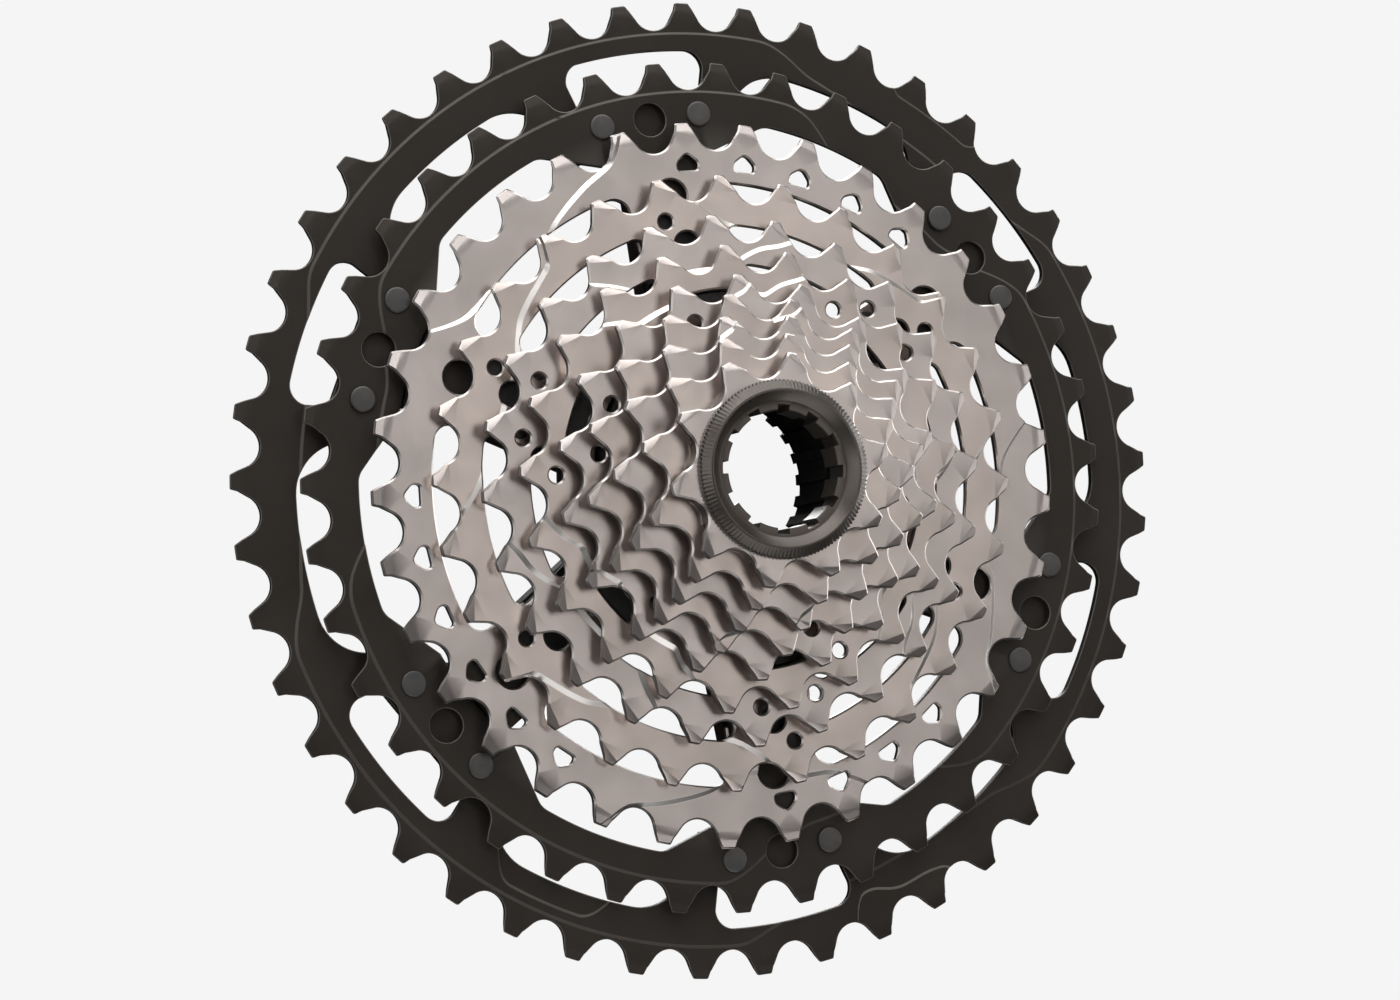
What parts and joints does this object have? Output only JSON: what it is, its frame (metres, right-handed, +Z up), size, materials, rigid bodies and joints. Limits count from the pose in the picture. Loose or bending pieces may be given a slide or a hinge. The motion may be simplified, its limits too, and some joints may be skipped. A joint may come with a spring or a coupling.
{
  "type": "bicycle cassette sprocket",
  "caption": "Bicycle cassette: stacked chain sprockets on two riveted carriers with a splined freehub bore, spacers and a threaded lockring.",
  "frame": {"origin": "on the hub axis, in the plane where the freehub's shoulder seats inside the rear carrier", "axes": "+Z up, Y along the hub axis with the small sprockets and the lockring towards -Y and the spokes towards +Y, +X to the right as seen from the small sprockets' side"},
  "size_m": [0.1848, 0.0415, 0.1847],
  "materials": {
    "black_anodised": "matt black anodised aluminium with a fine blasted grain",
    "silver_plate": "satin nickel-plated steel",
    "carrier_black": "matt black anodised aluminium",
    "carrier_composite": "matt black fibre-filled composite",
    "spacer_black": "satin black",
    "washer_steel": "dull steel",
    "lockring_black": "semi-gloss black anodised",
    "rivet_dark": "dark grey blackened steel"
  },
  "bodies": {
    "main_unit": {"rear_carrier": "carrier_black", "sprocket_45t": "black_anodised", "sprocket_39t": "black_anodised", "sprocket_33t": "silver_plate", "rivets_45_39": "rivet_dark", "rivets_33t": "rivet_dark"},
    "mid_unit": {"mid_carrier": "carrier_composite", "sprocket_28t": "silver_plate", "sprocket_24t": "silver_plate", "sprocket_21t": "silver_plate", "sprocket_18t": "silver_plate", "rivets_28t": "rivet_dark", "rivets_24t": "rivet_dark", "rivets_21t": "rivet_dark", "rivets_18t": "rivet_dark", "spacer_18_16": "spacer_black"},
    "loose_16t": {"sprocket_16t": "silver_plate", "spacer_16_14": "spacer_black"},
    "loose_14t": {"sprocket_14t": "silver_plate"},
    "loose_12t": {"sprocket_12t": "silver_plate"},
    "loose_10t": {"sprocket_10t": "silver_plate"},
    "washer": {"lockring_washer": "washer_steel"},
    "lockring": {"lockring": "lockring_black"}
  },
  "joints": [
    {"name": "mid_unit_slide", "type": "slide", "parent": "main_unit", "child": "mid_unit", "axis": [0, -1, 0], "range_m": [0, 0.02]},
    {"name": "sprocket_16t_slide", "type": "slide", "parent": "mid_unit", "child": "loose_16t", "axis": [0, -1, 0], "range_m": [0, 0.015]},
    {"name": "sprocket_14t_slide", "type": "slide", "parent": "loose_16t", "child": "loose_14t", "axis": [0, -1, 0], "range_m": [0, 0.012]},
    {"name": "sprocket_12t_slide", "type": "slide", "parent": "loose_14t", "child": "loose_12t", "axis": [0, -1, 0], "range_m": [0, 0.012]},
    {"name": "sprocket_10t_slide", "type": "slide", "parent": "loose_12t", "child": "loose_10t", "axis": [0, -1, 0], "range_m": [0, 0.01]},
    {"name": "lockring_travel", "type": "slide", "parent": "loose_10t", "child": "washer", "axis": [0, -1, 0], "range_m": [0, 0.006]},
    {"name": "lockring_turn", "type": "hinge", "parent": "washer", "child": "lockring", "pos_m": [0, -0.0299, 0], "axis": [0, -1, 0], "range_deg": [0, 2160]}
  ],
  "couplings": [
    {"joint": "lockring_travel", "follows": "lockring_turn", "m_per_rad": 0.00015915}
  ]
}
